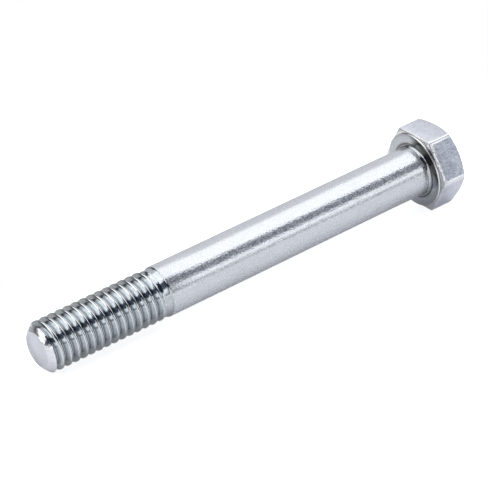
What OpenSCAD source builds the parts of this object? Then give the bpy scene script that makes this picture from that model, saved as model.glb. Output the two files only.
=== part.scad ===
// Partly threaded hex head bolt, 3/8 in, 16 threads per inch, 3-1/4 in long.
// One cold headed and thread rolled piece, lying as it comes to rest on a flat floor.
// Row frame: origin at the centre of the bearing face, +Z up, head towards +X, point towards -X.

/* [Shank] */
// Body diameter: 3/8 in bolt bodies are 9.14 to 9.86 mm
shank_d = 9.35; // [9.14:0.01:9.5]
// Length from the bearing face to the end of the point
length = 82.55; // [50.8:0.05:127]
// Radius of the concave fillet under the head
fillet_r = 0.5; // [0.3:0.05:0.7]

/* [Thread] */
// Thread pitch: 16 threads per inch
pitch = 1.5875; // [1.4:0.0125:1.8]
// Outside diameter over the thread crests
thread_d = 9.3; // [9.1:0.01:9.5]
// Depth of the thread from crest to root
thread_depth = 0.96; // [0.8:0.02:1]
// Length from the end of the point to the shoulder of the full body
thread_zone = 24.8; // [20:0.1:30]
// Length of the plain neck between the thread and the shoulder
neck_len = 1; // [0.8:0.1:3]
// Diameter of the plain neck, the rolled blank
neck_d = 8.62; // [8.4:0.02:8.8]
// Length over which the last thread turn fades into the neck
runout_len = 2.2; // [1.6:0.1:3]
// Turn of the thread about the bolt axis
thread_turn = 105; // [0:5:360]

/* [Point] */
// Diameter of the flat end face
point_d = 6.9; // [6.4:0.05:7.2]
// Angle of the point's chamfer from the bolt axis
point_angle = 45; // [35:1:50]

/* [Head] */
// Width across flats: 9/16 in
head_af = 14.29; // [13.9:0.01:14.6]
// Head height from the bearing face to the top
head_h = 6.05; // [5.6:0.05:6.6]
// Angle of the top chamfer from the top face
chamfer_angle = 30; // [25:1:32]
// Diameter of the round flat inside the top chamfer
crown_d = 13.5; // [12.6:0.05:13.8]
// Distance across the rounded long edges of the hexagon
corner_d = 16.36; // [15.8:0.01:16.48]
// Diameter of the raised washer face
washer_d = 14.2; // [13:0.05:14.25]
// Height of the raised washer face
washer_h = 0.4; // [0.25:0.05:0.6]
// Width of the bevel round the rim of the washer face
washer_bevel = 0.15; // [0.05:0.01:0.2]

/* [Hidden] */
zinc_colour = [0.74, 0.75, 0.79];
shank_r = shank_d / 2;
crest_r = thread_d / 2;
root_r = crest_r - thread_depth;
neck_r = neck_d / 2;
point_r = point_d / 2;
// heights along the bolt's own axis, 0 at the bearing face and positive towards the head
point_z = -length;
shoulder_z = thread_zone - length;
neck_z = shoulder_z - neck_len;
shoulder_bevel = shank_r - neck_r;
// the bolt rests on the lower edge of its head and on a thread crest behind the point
point_rise = (crest_r - point_r) / tan(point_angle);
lie_reach = length - point_rise + washer_h;
lie_angle = atan((head_af / 2 - crest_r) / lie_reach);
// one thread turn as profile points: position along the pitch and radius
flank_r = root_r + 0.16 * thread_depth;
PROFILE = [
    [-0.5, root_r],
    [-0.33, flank_r],
    [-0.085, crest_r - 0.07 * thread_depth],
    [0, crest_r],
    [0.085, crest_r - 0.07 * thread_depth],
    [0.33, flank_r]
];
P = len(PROFILE);
// the thread's last ring is a little inside the neck's edge, and a straight tail ties it in
mesh_end_z = neck_z - 0.06;
mesh_end_r = neck_r - 0.03;
tail_z = neck_z + 0.5;
turns = ceil((mesh_end_z - point_z) / pitch) + 3;
STEPS = max(24, min(48, floor(10800 / (2 * P * turns))));
ROWS = turns * P;
start_z = point_z - 1.5 * pitch;
snap = 0.03 * pitch;

function profile_z(u) = start_z + pitch * (floor(u / P) + PROFILE[u % P][0] + 0.5);
function mesh_z(u, j) = profile_z(u) + pitch * j / STEPS;
function count_low(u, j) = mesh_z(u, j) <= point_z + snap ? count_low(u + 1, j) : u;
function count_in(u, j) = mesh_z(u, j) < mesh_end_z - snap ? count_in(u + 1, j) : u;
// the first and last row of each column lie on the end planes
LOW = [for (j = [0 : STEPS - 1]) count_low(0, j) - 1];
HIGH = [for (j = [0 : STEPS - 1]) count_in(LOW[j] + 1, j)];

// the point's chamfer cuts the thread, and the run-out fades it to the neck
function point_cone(z) = point_r + (z - point_z) * tan(point_angle);
function fade(z) = max(0, min(1, (neck_z - z) / runout_len));
function cut_r(u, z) = min(PROFILE[u % P][1], point_cone(z));
function faded_r(r, z) = mesh_end_r + (r - mesh_end_r) * (r > mesh_end_r ? sqrt(fade(z)) : fade(z));
function mesh_r(u, z) = faded_r(cut_r(u, z), z);
function on_axis(r, z, j) = [r * cos(360 * j / STEPS), r * sin(360 * j / STEPS), z];
function mesh_point(u, j) =
    u <= LOW[j] ? on_axis(point_r, point_z, j) :
    u >= HIGH[j] ? on_axis(mesh_end_r, mesh_end_z, j) :
    on_axis(mesh_r(u, mesh_z(u, j)), mesh_z(u, j), j);
// a column's seam meets the first column one turn further on
function column(j) = j % STEPS;
function shift(u, j) = u + P * floor(j / STEPS);
function held(u, c) = max(LOW[c], min(HIGH[c], u));
function id(u, j) = held(shift(u, j), column(j)) * STEPS + column(j);
function whole(t) = t[0] != t[1] && t[1] != t[2] && t[0] != t[2];

hex_bolt();

module hex_bolt() {
    color(zinc_colour)
    rotate([0, 90 - lie_angle, 0])
    union() {
        rolled_thread();
        turned_body();
        hex_head();
    }
}

// helical thread with its incomplete turns at the point and at the neck
module rolled_thread() {
    points = [
        for (u = [0 : ROWS]) for (j = [0 : STEPS - 1]) mesh_point(u, j),
        for (j = [0 : STEPS - 1]) on_axis(mesh_end_r, tail_z, j),
        [0, 0, point_z],
        [0, 0, tail_z]
    ];
    tail_id = (ROWS + 1) * STEPS;
    point_id = tail_id + STEPS;
    end_id = point_id + 1;
    sides = [
        for (u = [0 : ROWS - 1]) for (j = [0 : STEPS - 1])
        each [
            [id(u, j), id(u + 1, j), id(u + 1, j + 1)],
            [id(u, j), id(u + 1, j + 1), id(u, j + 1)]
        ]
    ];
    tail = [
        for (j = [0 : STEPS - 1])
        each [
            [id(ROWS, j), tail_id + j, tail_id + column(j + 1)],
            [id(ROWS, j), tail_id + column(j + 1), id(ROWS, j + 1)]
        ]
    ];
    point_fan = [for (j = [0 : STEPS - 1]) [id(0, j), id(0, j + 1), point_id]];
    end_fan = [for (j = [0 : STEPS - 1]) [tail_id + column(j + 1), tail_id + j, end_id]];
    rotate([0, 0, thread_turn])
    polyhedron(
        points = points,
        faces = [for (t = concat(sides, tail, point_fan, end_fan)) if (whole(t)) t],
        convexity = 10
    );
}

// plain neck, full body, fillet and raised washer face, turned as one profile
module turned_body() {
    rotate_extrude($fn = 96)
    polygon(concat(
        [
            [0, neck_z],
            [neck_r, neck_z],
            [neck_r, shoulder_z],
            [shank_r, shoulder_z + shoulder_bevel]
        ],
        fillet_points(),
        [
            [washer_d / 2 - washer_bevel, 0],
            [washer_d / 2, washer_bevel],
            [washer_d / 2, washer_h + 0.5],
            [0, washer_h + 0.5]
        ]
    ));
}

// concave quarter circle from the body out to the bearing face
function fillet_points() = [
    for (i = [0 : 6])
    [shank_r + fillet_r * (1 - cos(15 * i)), fillet_r * (sin(15 * i) - 1)]
];

// forged hexagon with two flats level, a round chamfer on top and rounded long edges
module hex_head() {
    intersection() {
        translate([0, 0, washer_h])
        rotate([0, 0, 30])
        cylinder(r = head_af / 2 / cos(30), h = head_h - washer_h, $fn = 6);
        rotate_extrude($fn = 96)
        polygon([
            [0, washer_h - 1],
            [corner_d / 2, washer_h - 1],
            [corner_d / 2, head_h - (corner_d - crown_d) / 2 * tan(chamfer_angle)],
            [crown_d / 2, head_h],
            [0, head_h]
        ]);
    }
}
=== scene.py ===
from math import atan, atan2, cos, exp, pi, radians, sin, sqrt, tan

import bmesh
import bpy
from mathutils import Matrix, Vector


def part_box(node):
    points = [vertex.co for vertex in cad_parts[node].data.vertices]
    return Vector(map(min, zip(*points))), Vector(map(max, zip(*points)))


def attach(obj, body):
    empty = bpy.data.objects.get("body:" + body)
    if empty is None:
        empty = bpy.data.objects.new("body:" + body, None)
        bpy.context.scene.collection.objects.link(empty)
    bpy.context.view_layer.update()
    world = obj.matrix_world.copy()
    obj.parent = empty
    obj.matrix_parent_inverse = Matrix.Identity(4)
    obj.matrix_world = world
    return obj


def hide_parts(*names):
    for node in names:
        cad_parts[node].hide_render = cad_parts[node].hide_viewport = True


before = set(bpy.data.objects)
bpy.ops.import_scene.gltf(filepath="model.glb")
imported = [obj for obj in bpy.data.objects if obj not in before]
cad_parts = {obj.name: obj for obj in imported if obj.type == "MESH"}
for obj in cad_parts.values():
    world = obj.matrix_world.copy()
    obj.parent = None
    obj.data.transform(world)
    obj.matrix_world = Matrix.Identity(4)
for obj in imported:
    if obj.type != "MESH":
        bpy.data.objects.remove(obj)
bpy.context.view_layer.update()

# Camera: a long lens on a 36 mm sensor, high on the point's side of the bolt, so that the
# shank runs away from it up to the head. It is aimed at a point on the shank near its middle.
MM = 0.001
CAMERA_AIM = Vector((-38.43, 0.68, -0.29)) * MM
CAMERA_DISTANCE = 437.4 * MM
CAMERA_AZIMUTH = radians(35.40)
CAMERA_ELEVATION = radians(31.38)
CAMERA_ROLL = radians(-3.57)
SENSOR_WIDTH = 36.0
LENS = 184.3

look = Vector((
    sin(CAMERA_AZIMUTH) * cos(CAMERA_ELEVATION),
    cos(CAMERA_AZIMUTH) * cos(CAMERA_ELEVATION),
    -sin(CAMERA_ELEVATION),
))
camera_data = bpy.data.cameras.new("camera")
camera_data.sensor_width = SENSOR_WIDTH
camera_data.lens = LENS
camera_data.clip_start = 0.01
camera = bpy.data.objects.new("camera", camera_data)
camera.matrix_world = (
    Matrix.Translation(CAMERA_AIM - look * CAMERA_DISTANCE)
    @ look.to_track_quat("-Z", "Y").to_matrix().to_4x4()
    @ Matrix.Rotation(CAMERA_ROLL, 4, "Z")
)
bpy.context.scene.collection.objects.link(camera)
bpy.context.scene.camera = camera
bpy.context.scene.view_settings.view_transform = "Standard"

# Light tent: the bolt lies along a tunnel of soft light. A long diffuser hangs over it, a pale card
# stands behind it, and a dark slot is left open in front, where the camera looks in. Round the
# head's end a low pale card stands in front too.

# a band is (angle round the bolt in degrees, from behind over the top to the front; brightness)
HEAD_END_BANDS = [
    (0, 0.55), (30, 0.68), (47, 0.71), (59, 1.50), (110, 1.62), (117, 0.04), (142, 0.04), (148, 1.42),
    (158, 1.30), (164, 1.22), (167, 0.36), (174, 0.36), (177, 1.16),
]
POINT_END_BANDS = [
    (0, 0.46), (14, 0.40), (27, 0.06), (37, 0.06), (47, 1.15), (56, 1.40), (105, 1.42), (113, 0.0),
    (174, 0.0), (178, 1.05),
]
# the colour of the dim room where there is no cloth
HEAD_END_ROOM = (0.05, 0.068, 0.11)
POINT_END_ROOM = (0.012, 0.016, 0.028)
# the bands slant along the bolt: by SLANT degrees as a direction's X falls by 1, and by none where
# it is HEAD_END_X
SLANT = 12
HEAD_END_X = 0.49
# between these two X the head end's bands give way to the point end's
ENDS_MEET = (0.32, -0.05)


def add_node(tree, kind, links=(), **settings):
    """Adds a node, gives it its settings and input values, and links inputs to other nodes' outputs."""
    node = tree.nodes.new(kind)
    for name, value in settings.items():
        setattr(node, name, value)
    for socket, source in dict(links).items():
        if isinstance(source, bpy.types.NodeSocket):
            tree.links.new(source, node.inputs[socket])
        else:
            node.inputs[socket].default_value = source
    return node


def tent_ramp(tree, bands, room, place):
    """Colour round the tent at one of its ends, by the place from behind over the top to the front."""
    ramp = add_node(tree, "ShaderNodeValToRGB", {"Fac": place})
    while len(ramp.color_ramp.elements) < len(bands):
        ramp.color_ramp.elements.new(1.0)
    for element, (angle, brightness) in zip(ramp.color_ramp.elements, bands):
        element.position = angle / 180
        element.color = [brightness + max(0.0, 1 - brightness) * c for c in room] + [1]
    return ramp.outputs["Color"]


world = bpy.data.worlds.new("light_tent")
world.use_nodes = True
bpy.context.scene.world = world
tree = world.node_tree
tree.nodes.clear()
direction = add_node(tree, "ShaderNodeTexCoord").outputs["Generated"]
axes = add_node(tree, "ShaderNodeSeparateXYZ", {0: direction})
tent_angle = add_node(
    tree, "ShaderNodeMath", {0: axes.outputs["Z"], 1: axes.outputs["Y"]}, operation="ARCTAN2"
)
slant = add_node(
    tree,
    "ShaderNodeMath",
    {0: axes.outputs["X"], 1: -radians(SLANT), 2: radians(SLANT) * HEAD_END_X},
    operation="MULTIPLY_ADD",
)
slanted = add_node(tree, "ShaderNodeMath", {0: tent_angle.outputs[0], 1: slant.outputs[0]}, operation="ADD")
tent_place = add_node(
    tree, "ShaderNodeMath", {0: slanted.outputs[0], 1: pi}, operation="DIVIDE", use_clamp=True
)
point_end = add_node(
    tree,
    "ShaderNodeMapRange",
    {"Value": axes.outputs["X"], "From Min": ENDS_MEET[0], "From Max": ENDS_MEET[1]},
    interpolation_type="SMOOTHSTEP",
)
tent = add_node(
    tree,
    "ShaderNodeMix",
    {
        "Factor": point_end.outputs[0],
        "A": tent_ramp(tree, HEAD_END_BANDS, HEAD_END_ROOM, tent_place.outputs[0]),
        "B": tent_ramp(tree, POINT_END_BANDS, POINT_END_ROOM, tent_place.outputs[0]),
    },
    data_type="RGBA",
)
light_path = add_node(tree, "ShaderNodeLightPath")
tent_light = add_node(tree, "ShaderNodeBackground", {"Color": tent.outputs["Result"], "Strength": 1.0})
white = add_node(tree, "ShaderNodeBackground", {"Color": (1, 1, 1, 1), "Strength": 1.0})
seen = add_node(
    tree,
    "ShaderNodeMixShader",
    {0: light_path.outputs["Is Camera Ray"], 1: tent_light.outputs[0], 2: white.outputs[0]},
)
add_node(tree, "ShaderNodeOutputWorld", {"Surface": seen.outputs[0]})

# Floor: a sheet of matt white board that the bolt lies on. It takes the bolt's soft shadow, and
# the camera sees its unshaded part as white. It ends a little behind the bolt, before the card.
FLOOR_SIZE = 3.0
FLOOR_BEHIND = 0.027
FLOOR_COLOUR = "#F8F8F9"
# the board's own light, for the camera and for the bolt's mirror
FLOOR_GLOW_SEEN = 0.78
FLOOR_GLOW_MIRRORED = 0.09
floor_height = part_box("hex_bolt")[0][2]
floor_mesh = bmesh.new()
bmesh.ops.create_grid(floor_mesh, x_segments=1, y_segments=1, size=FLOOR_SIZE / 2)
bmesh.ops.translate(floor_mesh, verts=floor_mesh.verts, vec=(0, FLOOR_BEHIND - FLOOR_SIZE / 2, floor_height))
floor_data = bpy.data.meshes.new("floor")
floor_mesh.to_mesh(floor_data)
floor_mesh.free()
floor = bpy.data.objects.new("floor", floor_data)
bpy.context.scene.collection.objects.link(floor)


def linear(hex_colour):
    """An sRGB hex colour as the linear RGBA that the shaders take."""
    channels = [int(hex_colour[i:i + 2], 16) / 255 for i in (1, 3, 5)]
    return [c / 12.92 if c <= 0.04045 else ((c + 0.055) / 1.055) ** 2.4 for c in channels] + [1.0]


board = bpy.data.materials.new("matt_white_board")
board.use_nodes = True
tree = board.node_tree
tree.nodes.clear()
light_path = add_node(tree, "ShaderNodeLightPath")
matt = add_node(tree, "ShaderNodeBsdfDiffuse", {"Color": linear(FLOOR_COLOUR)})
mirrored = add_node(
    tree,
    "ShaderNodeMath",
    {0: light_path.outputs["Is Glossy Ray"], 1: FLOOR_GLOW_MIRRORED},
    operation="MULTIPLY",
)
glow = add_node(
    tree,
    "ShaderNodeMath",
    {0: light_path.outputs["Is Camera Ray"], 1: FLOOR_GLOW_SEEN, 2: mirrored.outputs[0]},
    operation="MULTIPLY_ADD",
)
glowing = add_node(tree, "ShaderNodeEmission", {"Color": (1, 1, 1, 1), "Strength": glow.outputs[0]})
both = add_node(tree, "ShaderNodeAddShader", {0: matt.outputs[0], 1: glowing.outputs[0]})
add_node(tree, "ShaderNodeOutputMaterial", {"Surface": both.outputs[0]})
floor_data.materials.append(board)

# Rolled thread: the blank is rolled between ribbed dies, so the thread has round roots and narrow
# crests with round edges. A row of teeth is swept one turn along the helix. The last turn fades
# into the neck, and the point is chamfered. Sizes are in mm along the bolt's own axis.
THREAD_D = 9.3
THREAD_DEPTH = 0.96
PITCH = 1.5875
LENGTH = 82.55
POINT_D = 6.9
POINT_ROUND = 0.22
POINT_ROUND_REACH = 0.28
# the chamfer narrows the thread's surplus turns down to this radius, and they are cut off after it
CORE_R = 1.0
THREAD_ZONE = 24.8
NECK_LEN = 1.0
NECK_D = 8.8
RUNOUT_LEN = 0.8
THREAD_TURN = radians(105)
FLANK_SLOPE = radians(30)
CREST_FLAT = 0.25
CREST_ROUND = 0.08
# the crest's rounded edge goes through a point this far out and down, as shares of its size
CREST_EDGE = (0.35, 0.3)
# the share of the crest's flat that is quite level
CREST_LEVEL = 0.6
# half the root's width, where its flanks would meet its bottom if they ran on straight
ROOT_HALF = 0.12
ROOT_POINTS = 6
THREAD_STEPS = 96
EXTRA_TURNS = 4
# mm within which vertices are merged, and within which one counts as on a cutting plane
MERGE_REACH = 0.004
ON_PLANE = 1e-5

point_z = -LENGTH
shoulder_z = THREAD_ZONE - LENGTH
neck_z = shoulder_z - NECK_LEN
crest_r = THREAD_D / 2
root_r = crest_r - THREAD_DEPTH
neck_r = NECK_D / 2


def tooth_points():
    """One tooth as half a tooth and its mirror image: (place along the pitch, radius) from root to root."""
    half_crest = CREST_FLAT / 2
    flank_top = crest_r - CREST_ROUND
    # the root is an arc that the flanks run into
    root_radius = ROOT_HALF / (1 / cos(FLANK_SLOPE) - tan(FLANK_SLOPE))
    centre_r = root_r + root_radius
    half = []
    for i in range(ROOT_POINTS):
        turn = (pi / 2 - FLANK_SLOPE) * i / (ROOT_POINTS - 1)
        half.append((PITCH / 2 - root_radius * sin(turn), centre_r - root_radius * cos(turn)))
    place, radius = half[-1]
    crest_place = half_crest + CREST_ROUND
    for share in (0.5, 1.0):
        half.append((place + (crest_place - place) * share, radius + (flank_top - radius) * share))
    half.append((half_crest + CREST_ROUND * CREST_EDGE[0], crest_r - CREST_ROUND * CREST_EDGE[1]))
    half.append((half_crest * CREST_LEVEL, crest_r))
    return [(-z, r) for z, r in half] + [(z, r) for z, r in reversed(half)]


bolt = bmesh.new()
turns = int(THREAD_ZONE / PITCH) + EXTRA_TURNS
start_z = point_z - PITCH
teeth = [
    bolt.verts.new((r, 0, start_z + turn * PITCH + z))
    for turn in range(turns) for z, r in tooth_points()[:-1]
]
teeth_edges = [bolt.edges.new(pair) for pair in zip(teeth, teeth[1:])]
bmesh.ops.spin(
    bolt,
    geom=teeth + teeth_edges,
    cent=(0, 0, 0),
    axis=(0, 0, 1),
    dvec=(0, 0, PITCH / THREAD_STEPS),
    angle=2 * pi,
    steps=THREAD_STEPS,
)
bmesh.ops.rotate(bolt, verts=bolt.verts, cent=(0, 0, 0), matrix=Matrix.Rotation(THREAD_TURN, 3, "Z"))
bmesh.ops.remove_doubles(bolt, verts=bolt.verts, dist=MERGE_REACH)


def point_limit(z):
    """Radius of the chamfered point at height z, with its rim rounded."""
    rise = z - point_z
    return POINT_D / 2 + rise - POINT_ROUND * exp(-max(0.0, rise) / POINT_ROUND_REACH)


for vert in bolt.verts:
    x, y, z = vert.co
    radius = sqrt(x * x + y * y)
    target = min(radius, max(CORE_R, point_limit(z)))
    fade = max(0.0, min(1.0, (neck_z - z) / RUNOUT_LEN))
    share = sqrt(fade) if target > neck_r else fade
    target = neck_r + (target - neck_r) * share
    vert.co = (x * target / radius, y * target / radius, z)
for height, outward in ((point_z, -1), (neck_z, 1)):
    bmesh.ops.bisect_plane(
        bolt,
        geom=bolt.verts[:] + bolt.edges[:] + bolt.faces[:],
        dist=ON_PLANE,
        plane_co=(0, 0, height),
        plane_no=(0, 0, outward),
        clear_outer=True,
    )
bmesh.ops.remove_doubles(bolt, verts=bolt.verts, dist=MERGE_REACH)


def rim_edges(height):
    """The open edges of the bolt's mesh at a height, from which merging has moved some a little."""
    return [
        edge for edge in bolt.edges
        if edge.is_boundary and all(abs(vert.co.z - height) < 2 * MERGE_REACH for vert in edge.verts)
    ]


point_rim = rim_edges(point_z)
thread_rim = rim_edges(neck_z)
bmesh.ops.contextual_create(bolt, geom=point_rim)

# Shank and head: the wire is drawn to size, and its end is upset cold into the head. One profile
# runs from the neck over the shoulder, fillet and washer face and up the head, and is turned.
SHANK_D = 9.35
SHOULDER_BEVEL = 0.3
HEAD_AF = 14.29
HEAD_H = 6.05
CROWN_D = 13.5
WASHER_D = 14.2
WASHER_H = 0.4
WASHER_BEVEL = 0.2
FILLET_R = 0.5
BEARING_BAND = 1.2
GAP_ROUND = 0.03
CROWN_EDGE_ROUND = 0.25
TOP_FACE_SHARE = 0.6
TURN_STEPS = 192
SHOULDER_RINGS = 6
SHANK_RINGS = 12
FILLET_RINGS = 6
RIM_RINGS = 3
RING_STEP = 0.1

shank_r = SHANK_D / 2
apothem = HEAD_AF / 2
crown_r = CROWN_D / 2
washer_r = WASHER_D / 2
shoulder_rise = shank_r - neck_r
profile = [(neck_r, neck_z), (neck_r, shoulder_z)]
for i in range(1, SHOULDER_RINGS + 1):
    rise = shoulder_rise * (1 - cos(pi * i / SHOULDER_RINGS)) / 2
    profile.append((neck_r + rise, shoulder_z + SHOULDER_BEVEL * i / SHOULDER_RINGS))
profile += [
    (shank_r, shoulder_z + (-FILLET_R - shoulder_z) * i / SHANK_RINGS) for i in range(2, SHANK_RINGS)
]
for i in range(FILLET_RINGS + 1):
    turn = pi / 2 * i / FILLET_RINGS
    profile.append((shank_r + FILLET_R * (1 - cos(turn)), FILLET_R * (sin(turn) - 1)))
profile += [(washer_r - BEARING_BAND, 0), (washer_r - WASHER_BEVEL, 0)]
for i in range(1, RIM_RINGS + 1):
    turn = pi / 2 * i / RIM_RINGS
    profile.append((washer_r - WASHER_BEVEL * (1 - sin(turn)), WASHER_BEVEL * (1 - cos(turn))))
profile += [(washer_r, WASHER_H - GAP_ROUND), (washer_r + GAP_ROUND / 3, WASHER_H)]
# the head's rings start as circles one step apart, each a named step of its outline
HEAD_RINGS = [
    "under", "under_edge", "side_low", "side_mid", "side_high", "chamfer_edge", "chamfer", "crown_edge",
]
profile += [(apothem, WASHER_H + RING_STEP * (i + 1)) for i in range(len(HEAD_RINGS))]
profile += [(crown_r - CROWN_EDGE_ROUND, HEAD_H), (crown_r * TOP_FACE_SHARE, HEAD_H)]

rings = []
for radius, height in profile:
    rings.append(bolt.verts.new((radius, 0, height)))
ring_edges = [bolt.edges.new(pair) for pair in zip(rings, rings[1:])]
old_verts = set(bolt.verts) - set(rings)
bmesh.ops.spin(
    bolt,
    geom=rings + ring_edges,
    cent=(0, 0, 0),
    axis=(0, 0, 1),
    angle=2 * pi,
    steps=TURN_STEPS,
    use_merge=True,
)

# Hexagon: the upset head is squeezed between six flats. The corners stay a little round, and the
# top is chamfered, so each flat ends in an arc.
CORNER_D = 16.358
CHAMFER = radians(30)
EDGE_ROUND = 0.16
# the rounded lower edge goes through a point this far out and up, as shares of its size
LOWER_EDGE = (0.7, 0.3)
WASHER_CLEARANCE = 0.02
CHAMFER_EDGE_ROUND = 0.12
CHAMFER_EDGE_CUT = 0.03
CROWN_EDGE_DROP = 0.01
# how far directions are crowded towards the corners, from 0 to 1
CORNER_CROWDING = 0.75
ON_RING = 1e-4
corner_round = (apothem / cos(pi / 6) - CORNER_D / 2) / (1 / cos(pi / 6) - 1)
corner_centre = (apothem - corner_round) / cos(pi / 6)


def hexagon_r(angle):
    """Radius of the rounded hexagon in a direction, with a flat facing angle 0."""
    off = (angle + pi / 6) % (pi / 3) - pi / 6
    to_corner = pi / 6 - abs(off)
    straight = apothem / cos(off)
    across = corner_centre * sin(to_corner)
    if across >= corner_round:
        return straight
    return min(straight, corner_centre * cos(to_corner) + sqrt(corner_round ** 2 - across ** 2))


def chamfer_z(radius):
    """Height of the top chamfer at a radius."""
    return HEAD_H - max(0.0, radius - crown_r) * tan(CHAMFER)


def head_place(name, angle):
    """(radius, height) of a ring of the head in a direction."""
    side = hexagon_r(angle)
    inner = max(washer_r + WASHER_CLEARANCE, side - EDGE_ROUND)
    edge_round = side - inner
    top = chamfer_z(side)
    return {
        "under": (inner, WASHER_H),
        "under_edge": (inner + LOWER_EDGE[0] * edge_round, WASHER_H + LOWER_EDGE[1] * edge_round),
        "side_low": (side, WASHER_H + edge_round),
        "side_mid": (side, (WASHER_H + top) / 2),
        "side_high": (side, top - CHAMFER_EDGE_ROUND),
        "chamfer_edge": (side - CHAMFER_EDGE_CUT, chamfer_z(side - CHAMFER_EDGE_CUT) - CHAMFER_EDGE_CUT),
        "chamfer": (side - CHAMFER_EDGE_ROUND, chamfer_z(side - CHAMFER_EDGE_ROUND)),
        "crown_edge": (crown_r, HEAD_H - CROWN_EDGE_DROP),
    }[name]


def crowded(angle):
    """A direction moved towards the nearest corner, so that the corners' arcs get enough faces."""
    off = (angle + pi / 6) % (pi / 3) - pi / 6
    share = off / (pi / 6)
    moved = (1 - CORNER_CROWDING) * share + CORNER_CROWDING * sin(share * pi / 2)
    return angle - off + moved * pi / 6


for vert in [v for v in bolt.verts if v not in old_verts]:
    radius = sqrt(vert.co.x ** 2 + vert.co.y ** 2)
    height = vert.co.z
    angle = crowded(atan2(vert.co.y, vert.co.x))
    ring = round((height - WASHER_H) / RING_STEP) - 1
    if abs(radius - apothem) < ON_RING and ring in range(len(HEAD_RINGS)):
        radius, height = head_place(HEAD_RINGS[ring], angle)
    vert.co = (radius * cos(angle), radius * sin(angle), height)

top_rim = rim_edges(HEAD_H)
bmesh.ops.contextual_create(bolt, geom=top_rim)
neck_rim = [edge for edge in rim_edges(neck_z) if edge not in set(thread_rim)]
bmesh.ops.bridge_loops(bolt, edges=thread_rim + neck_rim)
bmesh.ops.recalc_face_normals(bolt, faces=bolt.faces)

# Zinc plating: bright clear-passivated zinc over steel, a cool and faintly blue grey metal. How the
# steel under it was made shows through it: the grain of the drawn wire, the mirror of the rolled
# thread, the dull flats. Shade is painted into the recesses under the head as darker, olive grey
# zinc, and into the thread's roots; a dark reflection is painted on one side of the bearing face.
ZINC = "#E2E6EC"
ZINC_DULL = "#D9DDE4"
THREAD_ZINC = "#DFE5E9"
THREAD_ZINC_DULL = "#CCD2D7"
# painted shade in the thread's roots
ROOT_ZINC = "#9DA2A7"
CREST_ZINC = "#A6ABB0"
FLAT_ZINC = "#E6E9F3"
FLAT_ZINC_DULL = "#D2D6E2"
SCUFFED_ZINC = "#D6DCE7"
SCUFFED_ZINC_DULL = "#A6ACBA"
# painted shade: the fillet and bearing face are a little darker than the shank, for the recess under the
# head
RECESS_ZINC = "#CCD1D6"
RECESS_ZINC_DULL = "#B6BBC0"
END_ZINC = "#DEE1EA"
BURNISHED = "#F0F1F4"
CHAMFER_ZINC = "#F3F4F9"
CHAMFER_ZINC_DULL = "#E3E5EC"
NECK_ZINC = "#D2D8DC"
NECK_ZINC_DULL = "#BEC5CA"
# painted shade: dark olive zinc for the gap under the hexagon and for the ring round the fillet
DARK_ZINC = "#6E6F6A"
DARK_ZINC_DULL = "#646560"
# a painted dark reflection: a dark olive patch on one side of the bearing face, the side given as an angle
# from +Y over the top
STAIN = "#50534C"
STAIN_SIDE = radians(137)
# mm above the root over which the painted shade in the roots fades out
ROOT_FADE = (0.42, 0.05)
CREST_FADE = (-0.05, -0.04)
CREST_TOP_FADE = (-0.006, -0.004)
# mm beyond the shank's radius over which the painted shade round the fillet fades out
OLIVE_FADE = (0.9, 0.5)
# mm towards that side over which the painted dark reflection fades in
STAIN_FADE = (3.6, 5.4)
# the grain of the burrs and of the duller patches: size in mm, stretch along the bolt, detail
BURR_GRAIN = (0.5, 1, 3)
DULL_PATCHES = (2.5, 2, 2)
LINE_DETAIL = 3
PIT_DETAIL = 1
BURR_FADE = 0.12
PATCHINESS = 0.2
NOISE_ROUGHNESS = 0.55
TONE_RANGE = (0.38, 0.62)
SPECKLE = 0.55
# edges between faces at a wider angle than this stay sharp
SHARP = radians(38)
# mm by which a face may be off a height and still count as on it
HAIR = 0.01
# the bolt's axis is tipped by this angle, which brings the point's thread down to the floor
lie_reach = LENGTH - (crest_r - POINT_D / 2) + WASHER_H
lie_angle = atan((apothem - crest_r) / lie_reach)


def bolt_place(tree, stretch=1.0):
    """The place on the bolt in mm, with X along its axis and divided by the grain's stretch."""
    place = add_node(tree, "ShaderNodeTexCoord").outputs["Object"]
    laid = add_node(
        tree,
        "ShaderNodeMapping",
        {"Vector": place, "Rotation": (0, -lie_angle, 0), "Scale": (stretch * MM, MM, MM)},
        vector_type="TEXTURE",
    )
    return laid.outputs[0]


def noise(tree, size, stretch, detail):
    """Noise in a grain of a size in mm, stretched along the bolt."""
    grain = add_node(
        tree,
        "ShaderNodeTexNoise",
        {
            "Vector": bolt_place(tree, stretch),
            "Scale": 1 / size,
            "Detail": detail,
            "Roughness": NOISE_ROUGHNESS,
        },
    )
    return grain.outputs["Fac"]


def spread(tree, value, low, high, lowest=0.3, highest=0.7):
    """A value that runs from low to high as another, such as noise, runs from lowest to highest."""
    node = add_node(
        tree,
        "ShaderNodeMapRange",
        {"Value": value, "From Min": lowest, "From Max": highest, "To Min": low, "To Max": high},
    )
    return node.outputs[0]


def bearing_edge(width, raggedness):
    """Covers a strip of a width in mm along the head's bearing edge, ragged by as much as is given."""
    def cover(tree):
        height = add_node(tree, "ShaderNodeSeparateXYZ", {0: bolt_place(tree)}).outputs["X"]
        ragged = add_node(
            tree,
            "ShaderNodeMath",
            {0: noise(tree, *BURR_GRAIN), 1: raggedness, 2: height},
            operation="MULTIPLY_ADD",
        )
        limit = WASHER_H + width + raggedness / 2
        return spread(tree, ragged.outputs[0], 1, 0, limit - BURR_FADE, limit + BURR_FADE)
    return cover


def radius_at(tree):
    """The distance from the bolt's axis in mm."""
    flat = {0: bolt_place(tree), 1: (0, 1, 1)}
    across = add_node(tree, "ShaderNodeVectorMath", flat, operation="MULTIPLY").outputs[0]
    return add_node(tree, "ShaderNodeVectorMath", {0: across}, operation="LENGTH").outputs["Value"]


def by_radius(radius, fade):
    """Covers the bolt beyond or within a radius. It fades in between two distances from it, in mm."""
    return lambda tree: spread(tree, radius_at(tree), 0, 1, radius + fade[0], radius + fade[1])


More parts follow.
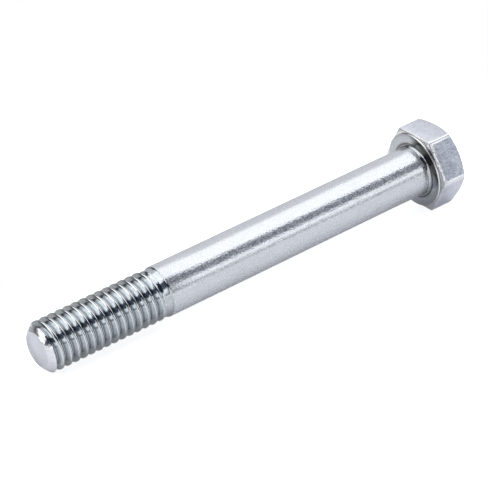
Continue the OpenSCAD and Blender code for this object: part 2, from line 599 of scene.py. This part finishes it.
def to_one_side(side, fade):
    """Covers the bolt on one side, given as an angle from +Y over the top. It fades in between two
    distances from the axis, in mm."""
    def cover(tree):
        facing = {0: bolt_place(tree), 1: (0, cos(side), sin(side))}
        reach = add_node(tree, "ShaderNodeVectorMath", facing, operation="DOT_PRODUCT").outputs["Value"]
        return spread(tree, reach, 0, 1, *fade)
    return cover


def zinc(name, colour, shade, roughness, lines, pits, layers=(), haze=0.0):
    """A zinc finish. Lines and pits are (size, stretch along the bolt, depth) of its grain in mm. The
    real ones are finer, and are drawn as coarse as they need to be to show. Each layer is (what it
    covers, colour, roughness). Haze is the share of light that the finest pits scatter, which gives
    the metal a speckled milky look."""
    material = bpy.data.materials.new(name)
    material.use_nodes = True
    tree = material.node_tree
    tree.nodes.clear()
    line_grain = noise(tree, lines[0], lines[1], LINE_DETAIL)
    pit_grain = noise(tree, pits[0], pits[1], PIT_DETAIL)
    grains = {"Factor": 0.5, "A": line_grain, "B": pit_grain}
    tone = add_node(tree, "ShaderNodeMix", grains, data_type="FLOAT").outputs["Result"]
    tones = {"Factor": spread(tree, tone, 0, 1, *TONE_RANGE), "A": linear(shade), "B": linear(colour)}
    tinted = add_node(tree, "ShaderNodeMix", tones, data_type="RGBA").outputs["Result"]
    patches = noise(tree, *DULL_PATCHES)
    dullness = spread(tree, patches, roughness * (1 - PATCHINESS), roughness * (1 + PATCHINESS))
    for cover, layer_colour, layer_roughness in layers:
        share = cover(tree)
        mixed = {"Factor": share, "A": tinted, "B": linear(layer_colour)}
        tinted = add_node(tree, "ShaderNodeMix", mixed, data_type="RGBA").outputs["Result"]
        mixed = {"Factor": share, "A": dullness, "B": layer_roughness}
        dullness = add_node(tree, "ShaderNodeMix", mixed, data_type="FLOAT").outputs["Result"]
    drawn = add_node(
        tree, "ShaderNodeBump", {"Height": line_grain, "Distance": lines[2] * MM, "Strength": 1.0}
    )
    pitted = add_node(
        tree,
        "ShaderNodeBump",
        {"Height": pit_grain, "Distance": pits[2] * MM, "Strength": 1.0, "Normal": drawn.outputs[0]},
    )
    metallic = 1.0
    if haze:
        metallic = spread(tree, pit_grain, 1 - (1 - SPECKLE) * haze, 1 - (1 + SPECKLE) * haze)
    metal = add_node(
        tree,
        "ShaderNodeBsdfPrincipled",
        {"Base Color": tinted, "Metallic": metallic, "Roughness": dullness, "Normal": pitted.outputs[0]},
    )
    add_node(tree, "ShaderNodeOutputMaterial", {"Surface": metal.outputs[0]})
    return material


FINISHES = [
    # the drawn wire's fine lines and pickled pits: a soft mirror under a speckled haze
    zinc("zinc_on_drawn_shank", ZINC, ZINC_DULL, 0.12, (0.3, 12, 0.008), (0.24, 1.4, 0.026), haze=0.36),
    # pressed smooth by the dies: a sharp mirror, with painted shade darkening the roots, which are also
    # duller, bright on the crests' rubbed edges and grey on their tops
    zinc(
        "zinc_on_rolled_thread_with_painted_root_shade", THREAD_ZINC, THREAD_ZINC_DULL, 0.06, (0.5, 3, 0.003), (0.4, 1.5, 0.006),
        [
            # painted shade darkening the roots
            (by_radius(root_r, ROOT_FADE), ROOT_ZINC, 0.12),
            (by_radius(crest_r, CREST_FADE), BURNISHED, 0.18),
            (by_radius(crest_r, CREST_TOP_FADE), CREST_ZINC, 0.1),
        ],
    ),
    # rolled with the thread: nearly as smooth, and a little greyer
    zinc("zinc_on_rolled_neck", NECK_ZINC, NECK_ZINC_DULL, 0.13, (0.5, 3, 0.003), (0.4, 1, 0.005)),
    # cut before the rolling: bright, with streaky tool marks
    zinc("zinc_on_chamfered_point", CHAMFER_ZINC, CHAMFER_ZINC_DULL, 0.15, (0.3, 2, 0.016), (0.5, 1, 0.012)),
    # forged smooth: a soft grey mirror, painted a little darker as shade in the recess
    zinc("zinc_with_painted_shade_in_the_fillet", RECESS_ZINC, RECESS_ZINC_DULL, 0.15, (0.4, 1, 0.006), (0.3, 1, 0.01)),
    # forged smooth too and painted a little darker as shade in the recess, with a ring of painted olive
    # shade round the fillet and a painted dark reflection on one side
    zinc(
        "zinc_with_painted_shade_on_bearing_face", RECESS_ZINC, RECESS_ZINC_DULL, 0.2, (0.4, 1, 0.006), (0.3, 1, 0.01),
        [
            # a ring of painted shade round the fillet, in the corner by the shank
            (by_radius(shank_r, OLIVE_FADE), DARK_ZINC, 0.16),
            # the painted dark reflection on one side
            (to_one_side(STAIN_SIDE, STAIN_FADE), STAIN, 0.14),
        ],
    ),
    # painted shade in the narrow gap: dark and dull
    zinc("zinc_painted_shade_beside_the_washer_face", DARK_ZINC, DARK_ZINC_DULL, 0.3, (0.4, 1, 0.006), (0.3, 1, 0.01)),
    # sheared off: even and matt
    zinc("zinc_on_sheared_end", END_ZINC, ZINC_DULL, 0.38, (0.6, 1, 0.006), (0.4, 1, 0.01)),
    # squeezed by the die: satin, with its lower edge burred and bright
    zinc(
        "zinc_on_clean_flat", FLAT_ZINC, FLAT_ZINC_DULL, 0.36, (0.8, 2, 0.02), (0.4, 1, 0.02),
        [(bearing_edge(0.32, 0.5), BURNISHED, 0.2)],
    ),
    # scraped by the trimming die: matt, grey and dented, with a broad ragged burr
    zinc(
        "zinc_on_scuffed_flat", SCUFFED_ZINC, SCUFFED_ZINC_DULL, 0.42, (0.3, 4, 0.03), (0.35, 1, 0.05),
        [(bearing_edge(0.65, 0.7), BURNISHED, 0.22)],
    ),
    # rubbed against other bolts in the plating barrel: bright lines at the corners and the washer's rim
    zinc("zinc_on_burnished_edge", BURNISHED, ZINC, 0.28, (0.4, 2, 0.006), (0.35, 1, 0.015)),
]
SHANK, THREAD, NECK, CHAMFERED, FILLET, BEARING, GAP, END, CLEAN, SCUFFED, EDGE = range(len(FINISHES))


def head_finish(face):
    """Every other flat is scuffed by the trimming die, and the corners between the flats are burnished."""
    centre = face.calc_center_median()
    angle = atan2(centre.y, centre.x)
    to_corner = pi / 6 - abs((angle + pi / 6) % (pi / 3) - pi / 6)
    # the top, its chamfer and the underside
    if abs(face.normal.z) > 0.5:
        return CLEAN
    if corner_centre * sin(to_corner) < corner_round:
        return EDGE
    return CLEAN if round(angle / (pi / 3)) % 2 else SCUFFED


def finish_of(face):
    """The finish of a face, by its height along the bolt and its distance from the axis."""
    centre = face.calc_center_median()
    height = centre.z
    if height > WASHER_H - 2 * HAIR:
        return head_finish(face)
    if height > HAIR:
        # the washer's rim is burnished, and its side in the gap under the hexagon takes the painted shade
        return EDGE if height < WASHER_BEVEL else GAP
    if height > -HAIR:
        return BEARING
    if height > HAIR - FILLET_R:
        return FILLET
    if height > shoulder_z + SHOULDER_BEVEL * (SHOULDER_RINGS - 1) / SHOULDER_RINGS:
        return SHANK
    if height > neck_z - RUNOUT_LEN / 4:
        return NECK
    if height <= point_z + HAIR / 10:
        return END
    across = sqrt(centre.x ** 2 + centre.y ** 2)
    return CHAMFERED if across > point_limit(height) - 3 * HAIR else THREAD


for face in bolt.faces:
    face.material_index = finish_of(face)
    face.smooth = True
for edge in bolt.edges:
    edge.smooth = len(edge.link_faces) == 2 and edge.calc_face_angle(0) < SHARP

# The finished bolt is laid down: head towards +X, and tipped until the point's thread and the
# head's lower edge are both on the floor.
bmesh.ops.scale(bolt, verts=bolt.verts, vec=(MM, MM, MM))
bmesh.ops.rotate(bolt, verts=bolt.verts, cent=(0, 0, 0), matrix=Matrix.Rotation(pi / 2 - lie_angle, 3, "Y"))
bolt_data = bpy.data.meshes.new("zinc_hex_bolt")
bolt.to_mesh(bolt_data)
bolt.free()
for finish in FINISHES:
    bolt_data.materials.append(finish)
bolt_piece = bpy.data.objects.new("zinc_hex_bolt", bolt_data)
bpy.context.scene.collection.objects.link(bolt_piece)
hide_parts("hex_bolt")
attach(bolt_piece, "root")
